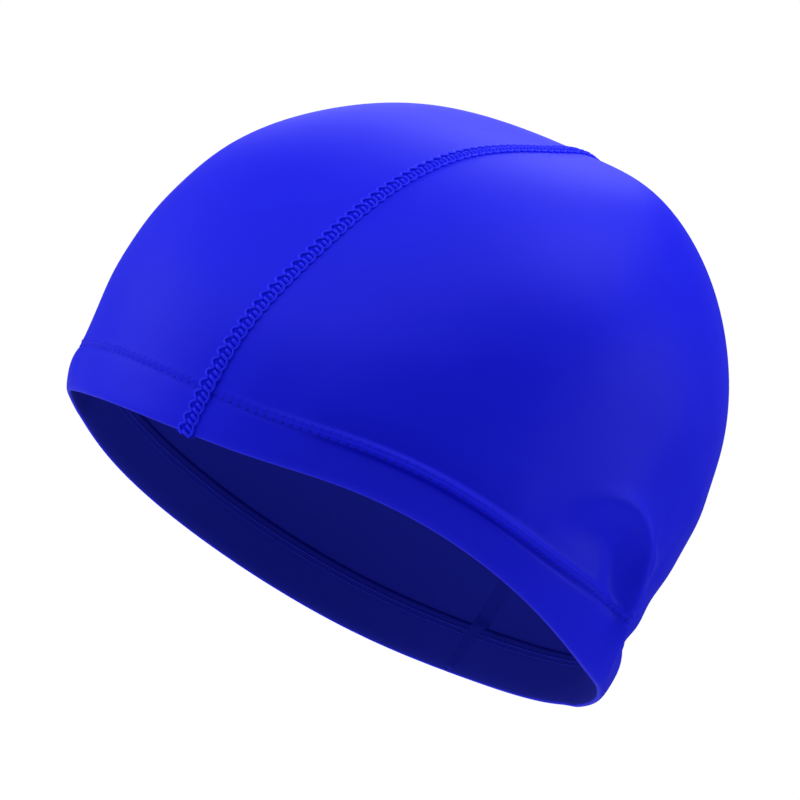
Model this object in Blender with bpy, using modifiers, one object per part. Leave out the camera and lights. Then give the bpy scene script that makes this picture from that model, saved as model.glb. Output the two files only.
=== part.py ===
"""Fabric swim cap: two half panels, their turned hems and one seam over the crown.

Metres, +Z up. The origin is the centre of the head opening, the opening looks down,
the front of the cap is at -Y and the wearer's left at +X.
"""

import math
from collections import namedtuple

import bmesh
import bpy
import numpy as np
from mathutils import Vector

MM = 0.001

CROWN_HEIGHT = 123.5 * MM      # rim plane to the highest point of the crown
CLOTH = 1.1 * MM               # wall of a panel
HEM_CLOTH = 2.2 * MM           # the hem is the same cloth turned up once
HEM_BELLY = 0.9 * MM           # how far the folded hem swells between its edge and its stitches
HEM_EDGE_ROUND = 0.8 * MM
SEAM_WIDTH = 4.4 * MM
SEAM_THICKNESS = 2.5 * MM
SEAM_PROUD = 0.75 * MM         # how far the seam stands out of the cloth
SEAM_DOME = 0.3 * MM           # how much lower its two sides are than its middle
GAP = 0.3 * MM                 # clearance between neighbouring pieces

PANEL_CUTS = 23                # cuts along each edge of the cube that a panel starts from
HEM_STEPS = 50                 # quads along each hem
HEM_ROWS = 3
SEAM_STEPS = 84
SEAM_ROWS = 3

FRONT = 270.0                  # azimuths, in degrees from +X towards +Y
BACK = 90.0

# Level cuts through the crown. level: degrees, its height is CROWN_HEIGHT * sin(level).
# side: half of the greatest width. front, back: reach of the seam along Y.
# widest: where along Y the section is widest. square_front, square_back: 0 is an
# ellipse, more is squarer. Sizes in millimetres.
Section = namedtuple("Section", "level side front back widest square_front square_back")
SECTIONS = (
    Section(0, 77.1, -79.9, 80.1, 2.3, -0.003, -0.026),
    Section(10, 79.1, -82.7, 82.3, -0.6, 0.010, -0.008),
    Section(22, 77.3, -76.2, 80.2, -5.8, 0.018, 0.002),
    Section(36, 73.0, -63.9, 75.1, -6.3, 0.021, 0.011),
    Section(52, 59.2, -41.8, 64.6, -3.2, 0.018, 0.014),
    Section(70, 36.0, -10.1, 46.6, 1.4, 0.020, 0.015),
    Section(90, 0.0, 12.4, 12.4, 12.4, 0.019, 0.016),
)

# The edge of the head opening. height: over the rim plane. hem: width of the turned hem.
# Sizes in millimetres.
RimRow = namedtuple("RimRow", "azimuth height hem")
RIM = (
    RimRow(0, 4.4, 14.5),
    RimRow(30, 2.6, 15.0),
    RimRow(55, 1.9, 13.0),
    RimRow(85, 0.5, 12.0),
    RimRow(115, -3.4, 12.0),
    RimRow(150, -4.4, 12.0),
    RimRow(180, -1.9, 12.0),
    RimRow(205, 0.2, 12.0),
    RimRow(228, -2.4, 12.4),
    RimRow(245, -3.8, 12.6),
    RimRow(270, -3.6, 11.6),
    RimRow(285, -1.3, 11.0),
    RimRow(300, 3.0, 11.0),
    RimRow(317, 6.3, 11.2),
    RimRow(343, 6.1, 12.2),
)

# Folds and swells of the cloth, each a ridge (or a dent, if its rise is negative) along a
# straight run between two places on the crown. width: half the width at which it has
# faded to a third. Degrees and millimetres.
Fold = namedtuple("Fold", "name azimuth_a level_a azimuth_b level_b width rise")
FOLDS = (
    Fold("puff over the left hem", 292, 7, 340, 11, 8, 0.9),
    Fold("pucker, upper run", 352, 20, 3, 18, 7, 1.6),
    Fold("pucker, lower run", 5, 17, 7, 8, 7, 2.6),
    Fold("dent in front of the pucker", 350, 14, 358, 13, 9, -2.8),
    Fold("waist behind the pucker", 20, 10.5, 50, 10, 9, -4.2),
    Fold("flare of the hem under it", 14, 2.6, 44, 2.2, 8, 2.7),
    Fold("swell over the waist", 22, 25, 48, 25, 12, 1.0),
    Fold("slack beside the front seam", 230, 5, 214, 17, 14, -0.7),
)


def cubic_through(knots, values):
    """Smooth curve through the given points, straight beyond its ends."""
    x = np.array(knots, dtype=float)
    y = np.array(values, dtype=float)
    step = np.diff(x)
    slope = np.diff(y) / step
    count = len(x)
    system = np.eye(count)
    target = np.zeros(count)
    for i in range(1, count - 1):
        system[i, i - 1:i + 2] = step[i - 1], 2 * (step[i - 1] + step[i]), step[i]
        target[i] = 6 * (slope[i] - slope[i - 1])
    bend = np.linalg.solve(system, target)

    def curve(at):
        i = int(np.clip(np.searchsorted(x, at) - 1, 0, count - 2))
        before = at - x[i]
        after = x[i + 1] - at
        width = step[i]
        cubic = (bend[i] * after ** 3 + bend[i + 1] * before ** 3) / (6 * width)
        line = (y[i] / width - bend[i] * width / 6) * after
        line += (y[i + 1] / width - bend[i + 1] * width / 6) * before
        return float(cubic + line)

    return curve


def section_curve(column, past_the_top=None, turned=1):
    """A curve through the sections that goes on over the top, so that the top comes out round.

    Past the top the front of the cap takes the place of its back.
    """
    knots = [row.level for row in SECTIONS]
    values = [getattr(row, column) for row in SECTIONS]
    for row in reversed(SECTIONS[:-1]):
        knots.append(180 - row.level)
        values.append(turned * getattr(row, past_the_top or column))
    return cubic_through(knots, values)


def rim_curve(column):
    """A curve round the rim: the rows are repeated a turn before and a turn after."""
    knots = [row.azimuth + turn for turn in (-360, 0, 360) for row in RIM]
    values = [getattr(row, column) for _ in (-360, 0, 360) for row in RIM]
    return cubic_through(knots, values)


SIDE = section_curve("side", turned=-1)
FRONT_REACH = section_curve("front", "back")
BACK_REACH = section_curve("back", "front")
WIDEST = section_curve("widest")
SQUARE_FRONT = section_curve("square_front", "square_back")
SQUARE_BACK = section_curve("square_back", "square_front")
RIM_HEIGHT = rim_curve("height")
RIM_HEM = rim_curve("hem")


def plain_point(azimuth, level):
    """Point of the crown without its folds, in metres: a squared, egg-shaped ring."""
    turn = math.radians(azimuth)
    front, back, widest = FRONT_REACH(level), BACK_REACH(level), WIDEST(level)
    to_back = 0.5 + 0.5 * math.sin(turn)
    square = SQUARE_FRONT(level) * (1 - to_back) + SQUARE_BACK(level) * to_back
    across = (math.cos(turn) - square * math.cos(3 * turn)) / (1 - square)
    along = (math.sin(turn) + square * math.sin(3 * turn)) / (1 - square)
    middle = (front + back) / 2
    lean = (widest - middle) / 2
    y = middle + lean + (back - front) / 2 * along + lean * math.cos(2 * turn)
    return Vector((SIDE(level) * across * MM, y * MM, CROWN_HEIGHT * math.sin(math.radians(level))))


def outward(azimuth, level, step=0.5):
    """Direction square to the crown, pointing out of the cap."""
    low_level = min(level, 88.0)
    round_the_cap = plain_point(azimuth + step, low_level) - plain_point(azimuth - step, low_level)
    up_the_cap = plain_point(azimuth, low_level + step) - plain_point(azimuth, low_level - step)
    return round_the_cap.cross(up_the_cap).normalized()


def distance_to_run(point, start, end):
    run = end - start
    share = max(0.0, min(1.0, (point - start).dot(run) / run.length_squared))
    return (point - start - run * share).length


def fold_rise(point):
    """How far all folds together lift the cloth at this point."""
    rise = 0.0
    for fold in FOLDS:
        start = plain_point(fold.azimuth_a, fold.level_a)
        end = plain_point(fold.azimuth_b, fold.level_b)
        reach = distance_to_run(point, start, end) / (fold.width * MM)
        rise += fold.rise * MM * math.exp(-reach * reach)
    return rise


def crown_point(azimuth, level):
    point = plain_point(azimuth, level)
    return point + outward(azimuth, level) * fold_rise(point)


def level_of(height):
    return math.degrees(math.asin(height / CROWN_HEIGHT))


def rim_level(azimuth):
    return level_of(RIM_HEIGHT(azimuth) * MM)


def hem_top_level(azimuth, above=0.0):
    """Level at the stitches of the hem, or a little above them."""
    low = rim_level(azimuth)
    edge = plain_point(azimuth, low)
    wall = plain_point(azimuth, low + 5) - edge
    rise_per_width = wall.z / wall.length
    return level_of(edge.z + (RIM_HEM(azimuth) * MM + above) * rise_per_width)


def beside_seam(point, side):
    """Moves cloth sideways, so that it ends beside the seam instead of under its middle."""
    edge = SEAM_WIDTH / 2 + GAP + 0.3 * CLOTH
    fade = max(0.0, 1 - abs(point.x) / (60 * MM))
    return Vector((point.x + side * edge * fade * fade, point.y, point.z))


def material(name, color, roughness):
    finish = bpy.data.materials.new(name)
    finish.use_nodes = True
    shader = finish.node_tree.nodes["Principled BSDF"]
    shader.inputs["Base Color"].default_value = (*color, 1.0)
    shader.inputs["Roughness"].default_value = roughness
    shader.inputs["Metallic"].default_value = 0.0
    return finish


def add_piece(bm, name, collection, finish):
    mesh = bpy.data.meshes.new(name)
    bm.to_mesh(mesh)
    bm.free()
    mesh.shade_smooth()
    mesh.materials.append(finish)
    piece = bpy.data.objects.new(name, mesh)
    collection.objects.link(piece)
    return piece


def thicken(piece, thickness):
    wall = piece.modifiers.new("Cloth", "SOLIDIFY")
    wall.thickness = thickness
    wall.offset = -1


def quarter_dome(side):
    """Quads over the upper quarter of a unit sphere on one side, with no pole."""
    bm = bmesh.new()
    bmesh.ops.create_cube(bm, size=2)
    bmesh.ops.subdivide_edges(bm, edges=bm.edges[:], cuts=PANEL_CUTS, use_grid_fill=True)
    for vert in bm.verts:
        vert.co = Vector([math.tan(value * math.pi / 4) for value in vert.co]).normalized()
    for normal in ((0, 0, 1), (side, 0, 0)):
        bmesh.ops.bisect_plane(bm, geom=bm.verts[:] + bm.edges[:] + bm.faces[:], dist=1e-5,
                               plane_co=(0, 0, 0), plane_no=normal, clear_inner=True)
    return bm


def make_panel(name, side, collection, finish):
    """Half of the crown, from the hem's stitches to the seam."""
    bm = quarter_dome(side)
    for vert in bm.verts:
        azimuth = math.degrees(math.atan2(vert.co.y, vert.co.x))
        if abs(vert.co.x) < 1e-6:
            azimuth = BACK if vert.co.y > 0 else FRONT
        up = math.degrees(math.asin(min(1.0, vert.co.z))) / 90
        low = hem_top_level(azimuth, above=GAP)
        vert.co = beside_seam(crown_point(azimuth, low + (90 - low) * up), side)
    piece = add_piece(bm, name, collection, finish)
    thicken(piece, CLOTH)
    return piece


def make_hem(name, side, collection, finish):
    """Cloth turned up once along the rim of one panel."""
    bm = bmesh.new()
    bmesh.ops.create_grid(bm, x_segments=HEM_STEPS, y_segments=HEM_ROWS, size=0.5)
    middle = 0.0 if side > 0 else 180.0
    for vert in bm.verts:
        azimuth = middle + 180 * vert.co.x
        up = vert.co.y + 0.5
        low = rim_level(azimuth)
        level = low + (hem_top_level(azimuth) - low) * up
        belly = HEM_BELLY * math.sin(math.pi * up)
        point = crown_point(azimuth, level) + outward(azimuth, level) * belly
        vert.co = beside_seam(point, side)
    piece = add_piece(bm, name, collection, finish)
    thicken(piece, HEM_CLOTH)
    edge = piece.modifiers.new("Folded edge", "BEVEL")
    edge.width = HEM_EDGE_ROUND
    edge.segments = 1
    edge.limit_method = "ANGLE"
    edge.angle_limit = math.radians(60)
    return piece


def seam_place(share):
    """Azimuth and level along the seam, from the front rim (0) to the back rim (1)."""
    start = rim_level(FRONT)
    end = 180 - rim_level(BACK)
    turn = start + (end - start) * share
    return (FRONT, turn) if turn <= 90 else (BACK, 180 - turn)


def make_seam(name, collection, finish):
    """The stitched rib that joins the two panels, over the crown and both hems."""
    bm = bmesh.new()
    bmesh.ops.create_grid(bm, x_segments=SEAM_ROWS, y_segments=SEAM_STEPS, size=0.5)
    for vert in bm.verts:
        across = 2 * vert.co.x
        share = vert.co.y + 0.5
        here = crown_point(*seam_place(share))
        ahead = crown_point(*seam_place(min(1.0, share + 0.004)))
        behind = crown_point(*seam_place(max(0.0, share - 0.004)))
        along = ahead - behind
        out = Vector((0, -along.z, along.y)).normalized()
        rise = SEAM_PROUD - SEAM_DOME * across * across
        vert.co = Vector((across * SEAM_WIDTH / 2, here.y, here.z)) + out * rise
    piece = add_piece(bm, name, collection, finish)
    thicken(piece, SEAM_THICKNESS)
    return piece


def main():
    for old in list(bpy.data.objects):
        bpy.data.objects.remove(old)
    cap = bpy.data.collections.new("swim_cap")
    bpy.context.scene.collection.children.link(cap)
    blue = (0.018, 0.012, 0.68)
    make_panel("crown_panel_left", 1, cap, material("crown_cloth_left", blue, 0.55))
    make_panel("crown_panel_right", -1, cap, material("crown_cloth_right", blue, 0.55))
    make_hem("hem_left", 1, cap, material("hem_cloth_left", blue, 0.6))
    make_hem("hem_right", -1, cap, material("hem_cloth_right", blue, 0.6))
    make_seam("crown_seam", cap, material("seam_thread", (0.014, 0.010, 0.55), 0.7))


main()
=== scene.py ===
import math

import bmesh
import bpy
import numpy as np
from mathutils import Matrix, Vector


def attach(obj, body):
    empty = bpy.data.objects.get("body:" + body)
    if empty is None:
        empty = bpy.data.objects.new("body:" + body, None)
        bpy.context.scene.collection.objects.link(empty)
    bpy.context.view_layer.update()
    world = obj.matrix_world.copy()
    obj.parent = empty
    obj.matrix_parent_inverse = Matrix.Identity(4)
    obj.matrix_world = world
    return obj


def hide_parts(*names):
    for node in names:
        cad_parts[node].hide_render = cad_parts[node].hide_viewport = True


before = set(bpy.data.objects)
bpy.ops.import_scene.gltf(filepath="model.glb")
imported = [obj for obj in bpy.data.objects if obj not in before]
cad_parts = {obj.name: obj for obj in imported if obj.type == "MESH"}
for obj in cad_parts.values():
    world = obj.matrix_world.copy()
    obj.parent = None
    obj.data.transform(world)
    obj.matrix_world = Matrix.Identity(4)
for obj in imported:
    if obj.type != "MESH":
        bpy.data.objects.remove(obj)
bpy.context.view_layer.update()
print("frame loaded")

mm = 0.001
front = 270.0          # azimuths, in degrees from +X towards +Y
back = 90.0

# The crown as level cuts. level: degrees, its height is height * sin(level). side: half of
# the greatest width. front, back: reach of the seam along Y. widest: where along Y the cut
# is widest. squareFront, squareBack: 0 is an ellipse, more is squarer. Sizes in mm.
crown = {
    "height": 123.5,
    "columns": ("level", "side", "front", "back", "widest", "squareFront", "squareBack"),
    "levels": (
        (0, 77.1, -79.9, 80.1, 2.3, -0.003, -0.026),
        (10, 79.1, -82.7, 82.3, -0.6, 0.010, -0.008),
        (22, 77.3, -76.2, 80.2, -5.8, 0.018, 0.002),
        (36, 73.0, -63.9, 75.1, -6.3, 0.021, 0.011),
        (52, 59.2, -41.8, 64.6, -3.2, 0.018, 0.014),
        (70, 36.0, -10.1, 46.6, 1.4, 0.020, 0.015),
        (90, 0.0, 12.4, 12.4, 12.4, 0.019, 0.016),
    ),
}

# The edge of the head opening. height: over the rim plane. hem: width of the turned hem.
# puff: how far the crown cloth bulges out over the hem's stitches. Sizes in mm.
rim = {
    "columns": ("azimuth", "height", "hem", "puff"),
    "rows": (
        (0, 4.4, 15.6, 0.8),
        (8, 4.04, 15.90, 0.25),
        (30, 3.8, 14.0, 0.1),
        (55, 2.3, 13.0, 0.3),
        (85, 0.5, 12.0, 0.4),
        (115, -3.4, 12.0, 0.4),
        (150, -4.4, 12.0, 0.4),
        (180, -1.9, 12.0, 0.3),
        (205, 0.2, 12.0, 0.1),
        (228, -2.4, 12.4, 0.1),
        (245, -3.8, 12.6, 0.2),
        (270, -3.6, 11.6, 0.2),
        (285, -1.3, 11.0, 0.5),
        (300, 3.0, 11.0, 1.15),
        (317, 6.3, 11.2, 1.5),
        (343, 6.1, 12.6, 1.5),
    ),
}

# Folds and swells of the cloth: a ridge, or a dent if its rise is negative, along a run of
# places. Each place is (azimuth, level, half width in mm, rise in mm).
folds = {
    "puff over the left hem": ((292, 7, 8, 0.9), (328, 10.5, 8, 0.8)),
    "pucker": ((350, 20, 8, 0.8), (0, 18, 7, 1.0), (4, 12, 6, 1.2), (9, 5, 6, 0.6)),
    "pucker crest": ((341, 15, 4, 0.2), (344.5, 17, 3.2, 0.7), (349, 18.6, 2.8, 1.2),
                     (354, 19.2, 2.6, 1.7), (358, 18.7, 2.5, 2.0), (1.8, 17.2, 2.5, 2.3),
                     (3.4, 15, 2.5, 2.5), (4.1, 12, 2.5, 2.6), (5.4, 9, 2.5, 2.4),
                     (7.4, 6.7, 2.6, 2.0), (10.9, 4.6, 3.0, 1.3), (15.5, 2.8, 3.5, 0.4)),
    "hollow in front of it": ((337, 11.5, 7, -0.3), (343, 12.8, 7, -1.2), (349, 14, 6.5, -2.1),
                              (355, 14, 5.5, -2.7), (358, 12, 4.5, -2.4), (0, 10, 3.5, -1.2)),
    "swell over the pucker": ((354, 24, 8, 0.5), (359, 31, 11, 0.6), (4, 38, 14, 0.2)),
    "second crest": ((6, 18.6, 2.2, 0.2), (8, 17.3, 1.9, 0.6), (11.5, 16.3, 1.9, 0.6),
                     (15.5, 15, 2.2, 0.2)),
    "crease between the crests": ((6.5, 15.8, 1.6, -0.4), (8, 13.4, 1.8, -0.7),
                                  (9.5, 11, 2.0, -0.4)),
    "waist behind the pucker": ((17, 14.4, 9.2, -2.5), (50, 14.4, 9.2, -2.5)),
    "draw over the hem there": ((15, 9.2, 5.4, -2.6), (46, 9.0, 5.4, -2.6)),
    "flare of the hem under it": ((14, 1.8, 6.0, 0.9), (44, 1.6, 6.0, 0.9)),
    "swell over the waist": ((22, 27, 8, 0.8), (48, 27, 8, 0.8)),
    "slack at the right side": ((232, 6, 12, -0.5), (216, 9.5, 9, -0.7)),
    "swell over the slack": ((222, 22, 10, 0.55), (210, 24, 10, 0.5)),
    "roll of the rim": ((196, 2.6, 5, 0.9), (222, 2.6, 5, 0.9)),
}


def cubicThrough(knots, values):
    # a smooth curve through every row of a table
    x = np.array(knots, dtype=float)
    y = np.array(values, dtype=float)
    step = np.diff(x)
    slope = np.diff(y) / step
    system = np.eye(len(x))
    target = np.zeros(len(x))
    for i in range(1, len(x) - 1):
        system[i, i - 1:i + 2] = step[i - 1], 2 * (step[i - 1] + step[i]), step[i]
        target[i] = 6 * (slope[i] - slope[i - 1])
    bend = np.linalg.solve(system, target)

    def curve(at):
        at = np.asarray(at, dtype=float)
        i = np.clip(np.searchsorted(x, at) - 1, 0, len(x) - 2)
        before = at - x[i]
        after = x[i + 1] - at
        width = step[i]
        cubic = (bend[i] * after ** 3 + bend[i + 1] * before ** 3) / (6 * width)
        line = (y[i] / width - bend[i] * width / 6) * after
        return cubic + line + (y[i + 1] / width - bend[i + 1] * width / 6) * before

    return curve


def levelCurve(column, pastTheTop=None, turned=1):
    # the cuts go on over the top, where front and back change places, so it comes out round
    at = crown["columns"].index(column)
    beyond = crown["columns"].index(pastTheTop or column)
    rows = crown["levels"]
    knots = [row[0] for row in rows] + [180 - row[0] for row in reversed(rows[:-1])]
    values = [row[at] for row in rows] + [turned * row[beyond] for row in reversed(rows[:-1])]
    return cubicThrough(knots, values)


def rimCurve(column):
    at = rim["columns"].index(column)
    knots = [row[0] + turn for turn in (-360, 0, 360) for row in rim["rows"]]
    return cubicThrough(knots, [row[at] for _ in range(3) for row in rim["rows"]])


sideAt = levelCurve("side", turned=-1)
frontAt = levelCurve("front", "back")
backAt = levelCurve("back", "front")
widestAt = levelCurve("widest")
squareFrontAt = levelCurve("squareFront", "squareBack")
squareBackAt = levelCurve("squareBack", "squareFront")
rimHeight = rimCurve("height")
hemWidth = rimCurve("hem")
puffAt = rimCurve("puff")


def plainPoints(azimuth, level):
    # the crown without its folds, in mm: squared, egg-shaped rings
    azimuth, level = np.broadcast_arrays(np.asarray(azimuth, float), np.asarray(level, float))
    turn = np.radians(azimuth)
    toBack = 0.5 + 0.5 * np.sin(turn)
    square = squareFrontAt(level) * (1 - toBack) + squareBackAt(level) * toBack
    across = (np.cos(turn) - square * np.cos(3 * turn)) / (1 - square)
    along = (np.sin(turn) + square * np.sin(3 * turn)) / (1 - square)
    reachFront, reachBack = frontAt(level), backAt(level)
    middle = (reachFront + reachBack) / 2
    lean = (widestAt(level) - middle) / 2
    y = middle + lean + (reachBack - reachFront) / 2 * along + lean * np.cos(2 * turn)
    z = crown["height"] * np.sin(np.radians(level))
    return np.stack([sideAt(level) * across, y, z], axis=-1)


def outward(azimuth, level, step=0.5, nearTop=88.0):
    # at right angles out of the plain crown
    low = np.minimum(level, nearTop)
    round_ = plainPoints(azimuth + step, low) - plainPoints(azimuth - step, low)
    up = plainPoints(azimuth, low + step) - plainPoints(azimuth, low - step)
    out = np.cross(round_, up)
    return out / np.linalg.norm(out, axis=-1, keepdims=True)


def foldRun(places, fineness=14):
    # the run as a dense line of points, with its width and rise at each
    rows = np.array(places, dtype=float)
    at = np.arange(len(rows))
    azimuth = np.degrees(np.unwrap(np.radians(rows[:, 0])))
    dense = np.linspace(0, len(rows) - 1, fineness * (len(rows) - 1) + 1)
    columns = [azimuth] + [rows[:, i] for i in (1, 2, 3)]
    pick = cubicThrough if len(rows) > 2 else lambda k, v: lambda t: np.interp(t, k, v)
    azimuth, level, width, rise = (pick(at, column)(dense) for column in columns)
    return plainPoints(azimuth, level), width, rise


foldRuns = [foldRun(places) for places in folds.values()]


def foldRise(points, reach=110):
    # how far all folds together lift the cloth at these points; a fold counts within its reach
    rise = np.zeros(len(points))
    for line, width, height in foldRuns:
        near = np.where(np.linalg.norm(points - line.mean(axis=0), axis=1) < reach)[0]
        if not len(near):
            continue
        starts, runs = line[:-1], np.diff(line, axis=0)
        gap = points[near][:, None, :] - starts[None]
        share = np.clip((gap * runs).sum(-1) / (runs ** 2).sum(-1), 0, 1)
        far = np.linalg.norm(gap - runs * share[..., None], axis=-1)
        best = far.argmin(axis=1)
        pick = np.arange(len(near))
        part = share[pick, best]
        atWidth = width[best] * (1 - part) + width[best + 1] * part
        atHeight = height[best] * (1 - part) + height[best + 1] * part
        rise[near] += atHeight * np.exp(-(far[pick, best] / atWidth) ** 2)
    return rise


def crownPoints(azimuth, level, out=0.0):
    # the crown with its folds, in mm, moved out of the cloth by out
    points = plainPoints(azimuth, level)
    return points + outward(azimuth, level) * (foldRise(points) + out)[:, None]


def levelOf(height):
    return np.degrees(np.arcsin(height / crown["height"]))


def levelAbove(azimuth, above, step=5):
    # the level that lies so many mm up the cloth from the rim
    low = levelOf(rimHeight(azimuth))
    edge = plainPoints(azimuth, low)
    wall = plainPoints(azimuth, low + step) - edge
    return levelOf(edge[:, 2] + above * wall[:, 2] / np.linalg.norm(wall, axis=-1))


def alongStitches():
    # how far along the hem's stitches each azimuth lies
    azimuth = np.arange(front - 361, front + 1.5, 0.5)
    line = crownPoints(azimuth, levelAbove(azimuth, hemWidth(azimuth)))
    steps = np.linalg.norm(np.diff(line, axis=0), axis=1)
    return azimuth, np.concatenate([[0], np.cumsum(steps)])


stitchAzimuth, stitchLength = alongStitches()


def besideSeam(points, side, edge, fadesIn=60):
    # cloth ends a little beside the middle plane, under the seam
    fade = np.maximum(0, 1 - np.abs(points[:, 0]) / fadesIn)
    moved = points.copy()
    moved[:, 0] += side * edge * fade ** 2
    return moved


def place(verts, points):
    for vert, point in zip(verts, points * mm):
        vert.co = point


def coordinates(verts):
    return np.array([vert.co[:] for vert in verts])


def addUv(bm, name, spots):
    layer = bm.loops.layers.uv.new(name)
    for face in bm.faces:
        for loop in face.loops:
            loop[layer].uv = spots[loop.vert.index]


def addPiece(bm, name, materials, stands=()):
    mesh = bpy.data.meshes.new(name)
    bm.to_mesh(mesh)
    bm.free()
    mesh.shade_smooth()
    for finish in materials:
        mesh.materials.append(finish)
    piece = bpy.data.objects.new(name, mesh)
    bpy.context.scene.collection.objects.link(piece)
    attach(piece, "root")
    if stands:
        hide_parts(*stands)
    return piece


def thicken(piece, wall):
    cloth = piece.modifiers.new("clothWall", "SOLIDIFY")
    cloth.thickness = wall * mm
    cloth.offset = -1
    cloth.material_offset = 1
    cloth.material_offset_rim = 1


# The hem's stitches, in mm
stitch = {
    "pitch": 2.4,
    "rows": 1.4,           # between the two rows
    "thread": 0.17,        # its radius
    "tuck": 0.1,           # how far the stitches draw the cloth in
    "belly": 0.3,          # how far the hem stands out under them
    "pit": 0.55,           # radius of the dimple round a needle hole
    "upperPit": 0.45,      # share of the pits' depth and painted shade in the upper row, pulled less tight
    "inside": 1.3,         # how deep under the crown's face the threads show inside
    "sunk": 1.25,          # how deep the thread dips at a hole, in its own radius
    "clear": 1.2,          # degrees from the seam to the first stitch
}

# How the cloth lies near the stitches: a ridge over them and a draw under them, each with its
# place above the stitches and its half width, in mm
besideStitches = {
    "ridge": (0.6, 1.0),
    "draw": (-1.1, 0.7),
    "drawOfPuff": 0.5,     # how much of the ridge's height the draw takes back
    "bellyWithin": 2.5,    # mm below the stitches in which the hem comes to stand out
}


# Materials


def fromHex(code):
    # sRGB hex to the linear values that a shader wants
    parts = [int(code[i:i + 2], 16) / 255 for i in (1, 3, 5)]
    return [p / 12.92 if p <= 0.04045 else ((p + 0.055) / 1.055) ** 2.4 for p in parts] + [1.0]


def addNode(tree, kind, links=None, **settings):
    # a node with its settings; links say which socket of which node feeds its inputs
    new = tree.nodes.new(kind)
    for name, value in settings.items():
        if name.startswith("in_"):
            key = name[3:]
            new.inputs[int(key) if key.isdigit() else key.replace("_", " ")].default_value = value
        else:
            setattr(new, name, value)
    for socket, (source, output) in (links or {}).items():
        tree.links.new(source.outputs[output], new.inputs[socket])
    return new


def newMaterial(name):
    finish = bpy.data.materials.new(name)
    finish.use_nodes = True
    return finish, finish.node_tree, finish.node_tree.nodes["Principled BSDF"]


# warp-knit polyester and elastane: fine upright wales, a silky face and soft highlights
tricot = {
    "face": "#141be8",
    "faceLow": "#1218e0",
    # painted shade in the dimples round the needle holes: its colour, and how far it darkens the
    # cloth
    "pit": "#0a0e90",
    "pitShade": 0.8,
    "reverse": "#2129aa",
    "wale": 0.7,            # mm; real ones are 0.45 apart, too fine to show
    "course": 0.55,
    "relief": 0.02,
    "roughness": 0.55,
    "sheen": 0.03,
    "sheenRoughness": 0.3,
    "specular": 0.075,
    "reverseRoughness": 0.85,
    "reverseSheen": 0.01,
    "cloudScale": 55.0,     # of the faint clouds in its colour and surface
}


def knitHeight(tree):
    # rows of small V loops, worked out from the cloth's own UV map in mm
    uv = addNode(tree, "ShaderNodeUVMap", uv_map="cloth")
    split = addNode(tree, "ShaderNodeSeparateXYZ", {0: (uv, 0)})
    u = addNode(tree, "ShaderNodeMath", {0: (split, 0)}, operation="MULTIPLY",
                in_1=1 / tricot["wale"])
    v = addNode(tree, "ShaderNodeMath", {0: (split, 1)}, operation="MULTIPLY",
                in_1=1 / tricot["course"])
    wave = addNode(tree, "ShaderNodeMath", {0: (u, 0)}, operation="PINGPONG", in_1=0.5)
    slant = addNode(tree, "ShaderNodeMath", {0: (wave, 0), 1: (v, 0)}, operation="ADD")
    turn = addNode(tree, "ShaderNodeMath", {0: (slant, 0)}, operation="MULTIPLY",
                   in_1=2 * math.pi)
    rib = addNode(tree, "ShaderNodeMath", {0: (turn, 0)}, operation="SINE")
    loops = addNode(tree, "ShaderNodeMath", {0: (rib, 0), 1: (wave, 0)}, operation="MULTIPLY")
    return addNode(tree, "ShaderNodeMath", {0: (loops, 0), 1: (wave, 0)}, operation="ADD")


def needlePits(tree):
    # 1 in the dimples round the needle holes, for their relief and their painted shade, from the
    # UV map that runs along the stitches
    uv = addNode(tree, "ShaderNodeUVMap", uv_map="stitches")
    split = addNode(tree, "ShaderNodeSeparateXYZ", {0: (uv, 0)})
    along = addNode(tree, "ShaderNodeMath", {0: (split, 0)}, operation="PINGPONG",
                    in_1=stitch["pitch"] / 2)
    above = addNode(tree, "ShaderNodeMath", {0: (split, 1)}, operation="ABSOLUTE")
    fromRow = addNode(tree, "ShaderNodeMath", {0: (above, 0)}, operation="SUBTRACT",
                      in_1=stitch["rows"] / 2)
    apart = addNode(tree, "ShaderNodeCombineXYZ", {0: (along, 0), 1: (fromRow, 0)})
    far = addNode(tree, "ShaderNodeVectorMath", {0: (apart, 0)}, operation="LENGTH")
    pits = addNode(tree, "ShaderNodeMapRange", {0: (far, 1)}, interpolation_type="SMOOTHSTEP",
                   in_1=0.1, in_2=stitch["pit"], in_3=1.0, in_4=0.0)
    row = addNode(tree, "ShaderNodeMapRange", {0: (split, 1)}, in_1=-0.2, in_2=0.2, in_3=1.0,
                  in_4=stitch["upperPit"])
    return addNode(tree, "ShaderNodeMath", {0: (pits, 0), 1: (row, 0)}, operation="MULTIPLY")


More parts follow.
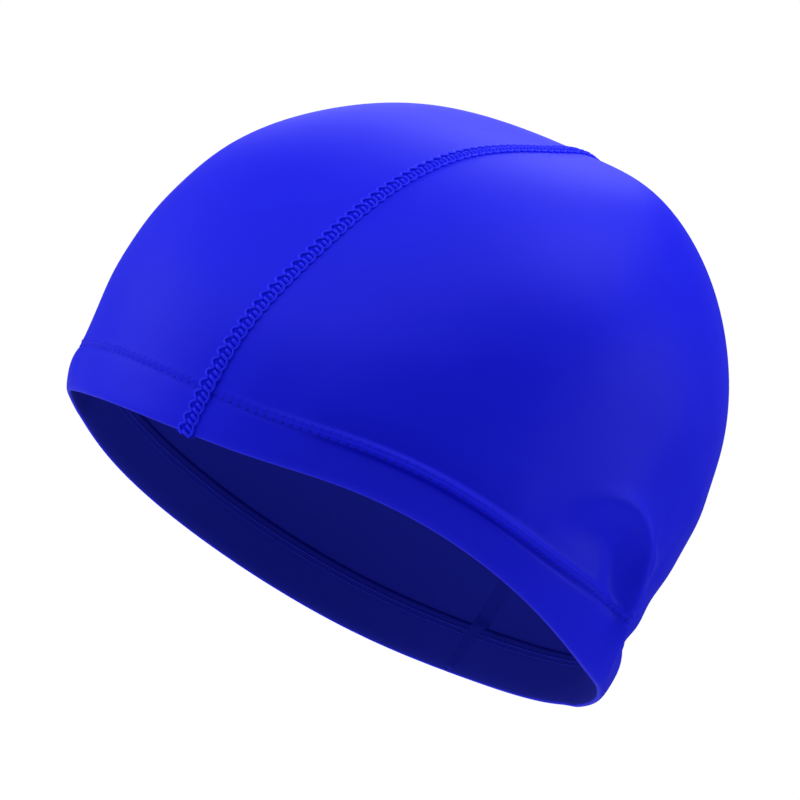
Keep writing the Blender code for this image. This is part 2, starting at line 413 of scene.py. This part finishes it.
def tricotMaterial(name, reverse=False):
    # the cloth's face, or its duller reverse, with faint clouds, dimples at the needle holes that
    # are darkened with painted shade, and the knit itself as fine relief
    finish, tree, shader = newMaterial(name)
    coords = addNode(tree, "ShaderNodeTexCoord")
    clouds = addNode(tree, "ShaderNodeTexNoise", {"Vector": (coords, "Object")},
                     in_Scale=tricot["cloudScale"], in_Detail=3.0, in_Roughness=0.55)
    low = fromHex(tricot["reverse"] if reverse else tricot["faceLow"])
    high = fromHex(tricot["reverse"] if reverse else tricot["face"])
    tint = addNode(tree, "ShaderNodeMix", {"Factor": (clouds, "Fac")}, data_type="RGBA",
                   in_6=low, in_7=high)
    pits = needlePits(tree)
    # painted shade: the colour darkens towards the pit colour in the dimples round the needle
    # holes
    shade = addNode(tree, "ShaderNodeMath", {0: (pits, 0)}, operation="MULTIPLY",
                    in_1=tricot["pitShade"])
    sunk = addNode(tree, "ShaderNodeMix", {"Factor": (shade, 0), 6: (tint, 2)},
                   data_type="RGBA", in_7=fromHex(tricot["pit"]))
    tree.links.new(sunk.outputs[2], shader.inputs["Base Color"])
    roughness = tricot["reverseRoughness"] if reverse else tricot["roughness"]
    shader.inputs["Roughness"].default_value = roughness
    sheen = tricot["reverseSheen"] if reverse else tricot["sheen"]
    shader.inputs["Sheen Weight"].default_value = sheen
    shader.inputs["Sheen Roughness"].default_value = tricot["sheenRoughness"]
    shader.inputs["Specular IOR Level"].default_value = tricot["specular"]
    soft = addNode(tree, "ShaderNodeBump", {"Height": (clouds, "Fac")}, in_Strength=0.25,
                   in_Distance=0.0008)
    dimple = addNode(tree, "ShaderNodeBump", {"Height": (pits, 0), "Normal": (soft, 0)},
                     invert=True, in_Strength=0.6, in_Distance=0.3 * mm)
    fine = addNode(tree, "ShaderNodeBump", {"Height": (knitHeight(tree), 0),
                                            "Normal": (dimple, 0)},
                   in_Strength=0.5, in_Distance=tricot["relief"] * mm)
    tree.links.new(fine.outputs[0], shader.inputs["Normal"])
    return finish


# polyester sewing thread: as matt as the cloth, with a faint twist of two blues
def threadMaterial(name, low, high, specular=0.06):
    finish, tree, shader = newMaterial(name)
    coords = addNode(tree, "ShaderNodeTexCoord")
    ply = addNode(tree, "ShaderNodeTexNoise", {"Vector": (coords, "Object")},
                  in_Scale=2200.0, in_Detail=2.0)
    tint = addNode(tree, "ShaderNodeMix", {"Factor": (ply, "Fac")}, data_type="RGBA",
                   in_6=fromHex(low), in_7=fromHex(high))
    tree.links.new(tint.outputs[2], shader.inputs["Base Color"])
    shader.inputs["Roughness"].default_value = 0.5
    shader.inputs["Specular IOR Level"].default_value = specular
    bump = addNode(tree, "ShaderNodeBump", {"Height": (ply, "Fac")}, in_Strength=0.2,
                   in_Distance=0.0001)
    tree.links.new(bump.outputs[0], shader.inputs["Normal"])
    return finish


faceCloth = tricotMaterial("warpKnitTricotFace")
reverseCloth = tricotMaterial("warpKnitTricotReverse", reverse=True)
# light loops over a core darkened with painted shade, the shadow in the holes between the
# threads, so that the seam's stitches read one by one
seamThread = threadMaterial("polyesterSeamThread", "#181ef4", "#262eff")
seamCoreInPaintedShade = threadMaterial("threadUnderTheLoopsInPaintedShade", "#0d12c6", "#1217da", specular=0.01)
looperThread = threadMaterial("flatSeamInside", "#1d2599", "#242cb0", specular=0.01)
# close to the cloth they are sewn on, so that the rows stay faint
hemThread = threadMaterial("polyesterHemThread", "#1218d8", "#171ef8")
shadedThread = threadMaterial("polyesterThreadInside", "#1a22b0", "#252ec4")
print("materials made")


# Crown panels
panel = {
    "cuts": 151,           # cuts along each edge of the cube that a panel starts from
    "wall": 0.55,
    "lip": 2.4,            # height of the finer strip over the hem's stitches
    "lipRows": 8,
    "underSeam": 0.15,     # how far from the middle plane the cloth ends
    "middle": 40.0,        # height of the point that its knit is laid out round
    "flatRadius": 85,      # mm of cloth for one radian seen from that point
}


def quarterDome(side):
    # a quarter of a ball with even square faces, one side of the middle plane
    bm = bmesh.new()
    bmesh.ops.create_cube(bm, size=2)
    bmesh.ops.subdivide_edges(bm, edges=bm.edges[:], cuts=panel["cuts"], use_grid_fill=True)
    for vert in bm.verts:
        vert.co = Vector([math.tan(value * math.pi / 4) for value in vert.co]).normalized()
    for normal in ((0, 0, 1), (side, 0, 0)):
        bmesh.ops.bisect_plane(bm, geom=bm.verts[:] + bm.edges[:] + bm.faces[:], dist=1e-6,
                               plane_co=(0, 0, 0), plane_no=normal, clear_inner=True)
    return bm


def skinOut(azimuth, above):
    # how far the cloth stands off the crown, so many mm above the hem's stitches, which draw
    # it in; panel and hem follow the same skin, so they read as one cloth
    puff = puffAt(azimuth)
    ridge, draw = (np.exp(-((above - besideStitches[name][0]) / besideStitches[name][1]) ** 2)
                   for name in ("ridge", "draw"))
    drawn = stitch["tuck"] + besideStitches["drawOfPuff"] * puff
    below = np.minimum(above, 0) / besideStitches["bellyWithin"]
    return puff * ridge - drawn * draw + stitch["belly"] * (1 - np.exp(-below ** 2))


def makePanel(name, side, stands):
    bm = quarterDome(side)
    dome = coordinates(bm.verts)
    ring = [edge for edge in bm.edges if edge.is_boundary
            and all(abs(vert.co.z) < 1e-5 for vert in edge.verts)]
    azimuth = np.degrees(np.arctan2(dome[:, 1], dome[:, 0]))
    atSeam = np.abs(dome[:, 0]) < 1e-6
    azimuth[atSeam] = np.where(dome[atSeam, 1] > 0, back, front if side < 0 else front - 360)
    azimuth[azimuth < front - 360.001] += 360
    up = np.degrees(np.arcsin(np.clip(dome[:, 2], 0, 1))) / 90
    low = levelAbove(azimuth, hemWidth(azimuth) + panel["lip"])
    level = low + (90 - low) * up
    height = np.linalg.norm(plainPoints(azimuth, level) - plainPoints(azimuth, low), axis=1)
    out = skinOut(azimuth, panel["lip"] + height)
    place(bm.verts, besideSeam(crownPoints(azimuth, level, out), side, panel["underSeam"]))
    azimuthOf = {vert: azimuth[vert.index] for vert in bm.verts}
    aboveOf = {vert: panel["lip"] + height[vert.index] for vert in bm.verts}
    for row in range(1, panel["lipRows"] + 1):
        above = panel["lip"] * (1 - row / panel["lipRows"])
        made = bmesh.ops.extrude_edge_only(bm, edges=ring)["geom"]
        new = [item for item in made if isinstance(item, bmesh.types.BMVert)]
        for vert in new:
            old = next(edge.other_vert(vert) for edge in vert.link_edges
                       if edge.other_vert(vert) not in new)
            azimuthOf[vert], aboveOf[vert] = azimuthOf[old], above
        ring = [item for item in made if isinstance(item, bmesh.types.BMEdge)
                and all(vert in new for vert in item.verts)]
        at = np.array([azimuthOf[vert] for vert in new])
        lower = levelAbove(at, hemWidth(at) + above)
        spots = crownPoints(at, lower, skinOut(at, np.full(len(at), above)))
        place(new, besideSeam(spots, side, panel["underSeam"]))
    bmesh.ops.recalc_face_normals(bm, faces=bm.faces[:])
    middle = Vector((0, 0, panel["middle"] * mm))
    if bm.faces[0].normal.dot(bm.faces[0].calc_center_median() - middle) < 0:
        bmesh.ops.reverse_faces(bm, faces=bm.faces[:])
    bm.verts.index_update()
    spots = (coordinates(bm.verts) - np.array(middle)) / mm
    # laid flat round its middle, in mm, so that the knit runs as in cut cloth
    angle = np.arccos(np.clip(side * spots[:, 0] / np.linalg.norm(spots, axis=1), -1, 1))
    flat = np.maximum(np.hypot(spots[:, 1], spots[:, 2]), 1e-6)
    addUv(bm, "cloth", panel["flatRadius"] * angle[:, None] * spots[:, 1:] / flat[:, None])
    along = np.interp([azimuthOf[vert] for vert in bm.verts], stitchAzimuth, stitchLength)
    addUv(bm, "stitches", np.stack([along, [aboveOf[vert] for vert in bm.verts]], axis=1))
    piece = addPiece(bm, name, [faceCloth, reverseCloth], [stands])
    thicken(piece, panel["wall"])


makePanel("crownPanelLeft", 1, "crown_panel_left")
makePanel("crownPanelRight", -1, "crown_panel_right")
print("panels made")


# Hems: the cloth is turned up once at the rim. Each row of the profile is one place across
# the hem, from its stitches outside, down and round the rim, to its raw edge inside.
# share: of the hem's width above the rim. plus: mm above that. out: mm off the crown. skin:
# 1 where it follows the outer skin.
hem = {
    "steps": 260,
    "rows": 40,
    "wall": 0.55,
    "insideFrom": 10.5,    # the row of the profile from which the cloth's reverse shows
    "apart": 40,           # mm between the outer and the inner layer on the knit's UV map
    "profile": (
        (1.0, 1.4, -0.2, 1), (1.0, 0.5, -0.07, 1), (1.0, -0.3, -0.01, 1), (1.0, -1.2, 0.0, 1),
        (1.0, -2.2, 0.0, 1), (0.7, 0.0, 0.0, 1), (0.45, 0.0, 0.0, 1), (0.2, 0.0, 0.0, 1),
        (0.0, 0.9, -0.15, 1), (0.0, 0.15, -0.4, 0.9), (0.0, -0.1, -0.8, 0.6),
        (0.0, 0.3, -1.25, 0.3), (0.2, 0.0, -1.4, 0), (0.5, 0.0, -1.35, 0),
        (0.8, 0.0, -1.35, 0), (1.0, 0.7, -1.2, 0), (1.0, 3.0, -0.8, 0),
    ),
}


def makeHem(name, side, stands):
    bm = bmesh.new()
    bmesh.ops.create_grid(bm, x_segments=hem["steps"], y_segments=hem["rows"], size=0.5)
    grid = coordinates(bm.verts)
    azimuth = (0.0 if side > 0 else 180.0) + 180 * grid[:, 0]
    rows = np.array(hem["profile"])
    across = (0.5 - grid[:, 1]) * (len(rows) - 1)
    share, plus, out, skin = (cubicThrough(np.arange(len(rows)), rows[:, i])(across)
                              for i in range(4))
    above = (share - 1) * hemWidth(azimuth) + plus
    out += skin * skinOut(azimuth, above)
    points = crownPoints(azimuth, levelAbove(azimuth, hemWidth(azimuth) + above), out)
    place(bm.verts, besideSeam(points, side, panel["underSeam"]))
    bmesh.ops.recalc_face_normals(bm, faces=bm.faces[:])
    outermost = max(bm.faces, key=lambda face: side * face.calc_center_median().x)
    if outermost.normal.x * side < 0:
        bmesh.ops.reverse_faces(bm, faces=bm.faces[:])
    inside = across > hem["insideFrom"]
    along = np.interp(azimuth, stitchAzimuth, stitchLength)
    addUv(bm, "cloth", np.stack([along, above + hem["apart"] * inside], axis=1))
    # the inner layer lies far from the stitches on their map, so it gets no dimples
    addUv(bm, "stitches", np.stack([along, above - 100 * inside], axis=1))
    for face in bm.faces:
        face.material_index = int(inside[[vert.index for vert in face.verts]].all())
    piece = addPiece(bm, name, [faceCloth, reverseCloth], [stands])
    thicken(piece, hem["wall"])


makeHem("hemLeft", 1, "hem_left")
makeHem("hemRight", -1, "hem_right")
print("hems made")


# The flatlock seam over the crown
seam = {
    "width": 5.0,
    "middle": 0.4,         # how far the rib lies to the left of the middle plane
    "proud": 0.38,         # of the rib over the cloth
    "deep": 0.7,           # of its underside, that lies flat on the inside of the cloth
    "deepAtHem": 1.85,
    "edge": 0.45,          # how deep in the cloth its long edges lie
    "overHem": (17, 3),    # mm from the rim that it is thick, the last few of them thinning
    "steps": 340,
    "round": 18,
    "startBelow": 0.3,     # degrees, below the rim at the front and above it at the back
    "pitch": 2.93,         # one stitch to the next
    "loops": (-0.5, -2.15, 0.4),       # from and to across the rib, and radius of the thread
    "strands": (-0.5, 1.75, 0.45),
    "knots": (1.45, 2.1, 0.36),
    "loopRise": 0.15,      # how far the outer end of a loop stands up
    "strandOut": (-0.2, 0.3),          # of a strand's ends, and how far its middle arches up
    "further": 0.4,        # how much further across every second strand starts
    "slant": 0.25,         # how far along a strand leans, in stitches
}


def overHem(along, total):
    # 1 where the seam runs over the hem, 0 where it runs over a panel
    ends, over = seam["overHem"]
    share = np.clip((ends - np.minimum(along, total - along)) / over, 0, 1)
    return share ** 2 * (3 - 2 * share)


def seamTable():
    # points along the seam, from the front rim to the back rim, and their outward
    start = levelOf(rimHeight(front)) - seam["startBelow"]
    end = 180 - levelOf(rimHeight(back)) - seam["startBelow"]
    turn = np.linspace(start, end, 2001)
    azimuth = np.where(turn <= 90, front, back)
    points = crownPoints(azimuth, np.where(turn <= 90, turn, 180 - turn))
    ahead = np.gradient(points[:, 1]), np.gradient(points[:, 2])
    size = np.hypot(*ahead)
    normal = np.stack([0 * size, -ahead[1] / size, ahead[0] / size], axis=1)
    length = np.concatenate([[0], np.cumsum(np.linalg.norm(np.diff(points, axis=0), axis=1))])
    lift = stitch["belly"] * overHem(length, length[-1])
    return length, points + normal * lift[:, None], normal


seamLength, seamPoints, seamNormal = seamTable()
print("seam is %.0f mm long" % seamLength[-1])


def onSeam(along, across, out):
    # a point so many mm along the seam, across it and out of the cloth
    point = np.stack([np.interp(along, seamLength, seamPoints[:, i]) for i in range(3)], 1)
    normal = np.stack([np.interp(along, seamLength, seamNormal[:, i]) for i in range(3)], 1)
    point[:, 0] += across + seam["middle"]
    return point + normal * np.asarray(out)[:, None]


def ribOut(across):
    # how far the round top of the rib stands out of the cloth
    dome = np.sqrt(np.maximum(0, 1 - (2 * across / seam["width"]) ** 2))
    return (seam["proud"] + seam["edge"]) * dome - seam["edge"]


def makeSeamBody():
    # a tube: round over the cloth, nearly flat under it
    bm = bmesh.new()
    bmesh.ops.create_grid(bm, x_segments=seam["round"], y_segments=seam["steps"], size=0.5)
    grid = coordinates(bm.verts)
    turn = 2 * np.pi * grid[:, 0]
    across = seam["width"] / 2 * np.cos(turn)
    along = (grid[:, 1] + 0.5) * seamLength[-1]
    deeper = seam["deepAtHem"] - seam["deep"]
    deep = seam["deep"] + deeper * overHem(along, seamLength[-1])
    flat = np.abs(np.sin(turn)) ** 0.6
    under = -seam["edge"] - (deep - seam["edge"]) * flat
    above = np.sin(turn) > 0
    place(bm.verts, onSeam(along, across, np.where(above, ribOut(across), under)))
    bm.verts.index_update()
    for face in bm.faces:
        face.material_index = int(not above[[vert.index for vert in face.verts]].any())
    bmesh.ops.remove_doubles(bm, verts=bm.verts[:], dist=1e-6)
    ends = [edge for edge in bm.edges if edge.is_boundary]
    bmesh.ops.holes_fill(bm, edges=ends, sides=0)
    bmesh.ops.recalc_face_normals(bm, faces=bm.faces[:])
    # the rib's top takes the painted shade of the holes between its threads
    addPiece(bm, "crownSeam", [seamCoreInPaintedShade, looperThread], ["crown_seam"])


def threadTube(name, runs, radius, finish, roundness=1):
    # round threads along lines of points in mm, from a bevelled curve made into a mesh
    curve = bpy.data.curves.new(name, "CURVE")
    curve.dimensions = "3D"
    curve.bevel_depth = radius * mm
    curve.bevel_resolution = roundness
    curve.use_fill_caps = True
    for points in runs:
        spline = curve.splines.new("POLY")
        spline.points.add(len(points) - 1)
        for spot, point in zip(spline.points, points * mm):
            spot.co = (*point, 1)
    holder = bpy.data.objects.new(name, curve)
    bpy.context.scene.collection.objects.link(holder)
    bpy.context.view_layer.update()
    mesh = bpy.data.meshes.new_from_object(holder)
    bpy.data.objects.remove(holder)
    bm = bmesh.new()
    bm.from_mesh(mesh)
    return addPiece(bm, name, [finish])


def makeSeamThreads():
    # loops stand along one edge of the rib, strands cross it from between them to a row of
    # small knots along the other edge
    count = int(seamLength[-1] / seam["pitch"])
    phase = np.arange(count * 12 + 1) / 12
    arch = np.abs(np.sin(np.pi * phase))
    for name in ("loops", "knots"):
        near, far, radius = seam[name]
        across = near + (far - near) * arch ** 0.8
        out = ribOut(across) + seam["loopRise"] * arch
        line = onSeam(phase * seam["pitch"], across, out)
        threadTube("crownSeam" + name.capitalize(), [line], radius, seamThread)
    near, far, radius = seam["strands"]
    atEnds, bow = seam["strandOut"]
    share = np.linspace(0, 1, 7)
    strands = []
    for i in range(2 * count):
        # every second strand starts further in, beside the hole of a loop
        begin = near + seam["further"] * (i % 2)
        across = begin + (far - begin) * share
        out = ribOut(across) + atEnds + bow * np.sin(np.pi * share)
        along = i / 2 + seam["slant"] * (1 - share)
        strands.append(onSeam(along * seam["pitch"], across, out))
    threadTube("crownSeamStrands", strands, radius, seamThread)


makeSeamBody()
makeSeamThreads()
print("seam made")


# Two rows of stitches along the top of each hem, that show on both sides
def makeHemStitches(name, side):
    start, end = (front - 360, back) if side > 0 else (back, front)
    ends = [start + stitch["clear"], end - stitch["clear"]]
    first, last = np.interp(ends, stitchAzimuth, stitchLength) / stitch["pitch"]
    phase = np.arange(first, last, 0.1)
    at = np.interp(phase * stitch["pitch"], stitchLength, stitchAzimuth)
    # the thread dips at each needle hole and lies level between two
    lift = np.minimum(1, 2.4 * np.abs(np.sin(np.pi * phase)))
    outside, inside = [], []
    for above in (stitch["rows"] / 2, -stitch["rows"] / 2):
        level = levelAbove(at, hemWidth(at) + above)
        rise = stitch["thread"] * (lift - stitch["sunk"])
        outer = skinOut(at, np.full(len(at), above)) + rise
        outside.append(crownPoints(at, level, outer))
        inside.append(crownPoints(at, level, -stitch["inside"] - rise))
    threadTube(name, outside, stitch["thread"], hemThread)
    threadTube(name + "Inside", inside, stitch["thread"], shadedThread)


makeHemStitches("hemStitchesLeft", 1)
makeHemStitches("hemStitchesRight", -1)
print("stitches made")


# Studio: a pale floor, a white surround and soft boxes, seen from below the rim
studio = {
    "floor": -0.36,
    "floorRadius": 9.0,
    "azimuth": 33.53,
    "elevation": -10.15,
    "roll": 32.12,
    "distance": 1.5,
    "target": (0.0, 0.0, 0.050),
    "shiftOfView": (-0.00728, -0.00403),
    "lens": 5950.0 * 36 / 800,         # mm; 5950 is its length in pixels of the photo
    "surround": 0.05,      # what it sends to the cap
    "backdrop": 1.02,      # what the camera sees
    "floorGlow": 0.25,     # what it sends to the cap
    "floorShown": 0.8,     # what the camera sees
    "softBoxes": (          # name, direction from the cap, distance, size in m, watts
        ("softBoxAbove", (0.04, -0.11, 0.99), 0.8, 0.6, 4.35),
        ("softBoxAboveTheFront", (-0.30, -0.75, 0.60), 0.8, 0.6, 2.6),
        ("softBoxAtTheFront", (-0.88, -0.40, 0.10), 0.8, 0.6, 2.6),
        ("softBoxAtTheLeft", (0.80, 0.31, 0.51), 0.8, 0.6, 3.05),
        ("softBoxBehind", (-0.62, 0.42, 0.66), 0.8, 0.5, 1.3),
    ),
}


def makeCamera():
    turn = (Matrix.Rotation(math.radians(studio["azimuth"]), 4, "Z")
            @ Matrix.Rotation(math.radians(90 - studio["elevation"]), 4, "X")
            @ Matrix.Rotation(math.radians(studio["roll"]), 4, "Z"))
    aside = Vector((*studio["shiftOfView"], studio["distance"]))
    data = bpy.data.cameras.new("camera")
    data.lens = studio["lens"]
    data.sensor_width = 36
    data.clip_end = 50
    camera = bpy.data.objects.new("camera", data)
    bpy.context.scene.collection.objects.link(camera)
    camera.matrix_world = Matrix.Translation(Vector(studio["target"]) + turn @ aside) @ turn
    bpy.context.scene.camera = camera


def softBox(name, direction, distance, size, power):
    data = bpy.data.lights.new(name, "AREA")
    data.shape = "DISK"
    data.size = size
    data.energy = power
    lamp = bpy.data.objects.new(name, data)
    bpy.context.scene.collection.objects.link(lamp)
    where = Vector(direction).normalized()
    lamp.location = Vector(studio["target"]) + where * distance
    lamp.rotation_mode = "QUATERNION"
    lamp.rotation_quaternion = where.to_track_quat("Z", "Y")
    lamp.visible_camera = False


def makeFloor():
    bm = bmesh.new()
    bmesh.ops.create_circle(bm, cap_ends=True, segments=96, radius=studio["floorRadius"])
    bmesh.ops.translate(bm, verts=bm.verts[:], vec=(0, 0, studio["floor"]))
    mesh = bpy.data.meshes.new("floor")
    bm.to_mesh(mesh)
    bm.free()
    floor = bpy.data.objects.new("floor", mesh)
    bpy.context.scene.collection.objects.link(floor)
    finish, tree, shader = newMaterial("glowingWhiteFloor")
    shader.inputs["Base Color"].default_value = fromHex("#f2f2f2")
    shader.inputs["Roughness"].default_value = 0.9
    shader.inputs["Emission Color"].default_value = (1, 1, 1, 1)
    ray = addNode(tree, "ShaderNodeLightPath")
    glow = addNode(tree, "ShaderNodeMapRange", {0: (ray, "Is Camera Ray")},
                   in_3=studio["floorGlow"], in_4=studio["floorShown"])
    tree.links.new(glow.outputs[0], shader.inputs["Emission Strength"])
    # seen from below it lets the view through
    side = addNode(tree, "ShaderNodeNewGeometry")
    clear = addNode(tree, "ShaderNodeBsdfTransparent")
    mix = addNode(tree, "ShaderNodeMixShader", {0: (side, "Backfacing"), 1: (shader, 0),
                                                2: (clear, 0)})
    tree.links.new(mix.outputs[0], tree.nodes["Material Output"].inputs["Surface"])
    mesh.materials.append(finish)


def makeWorld():
    world = bpy.data.worlds.new("whiteSurround")
    bpy.context.scene.world = world
    world.use_nodes = True
    tree = world.node_tree
    paint = tree.nodes["Background"]
    paint.inputs["Color"].default_value = (1, 1, 1, 1)
    paint.inputs["Strength"].default_value = studio["surround"]
    shown = addNode(tree, "ShaderNodeBackground", in_Color=(1, 1, 1, 1),
                    in_Strength=studio["backdrop"])
    ray = addNode(tree, "ShaderNodeLightPath")
    mix = addNode(tree, "ShaderNodeMixShader", {0: (ray, "Is Camera Ray"), 1: (paint, 0),
                                                2: (shown, 0)})
    tree.links.new(mix.outputs[0], tree.nodes["World Output"].inputs["Surface"])


makeCamera()
makeFloor()
makeWorld()
for name, direction, distance, size, power in studio["softBoxes"]:
    softBox(name, direction, distance, size, power)
bpy.context.scene.view_settings.view_transform = "Standard"
print("studio made")
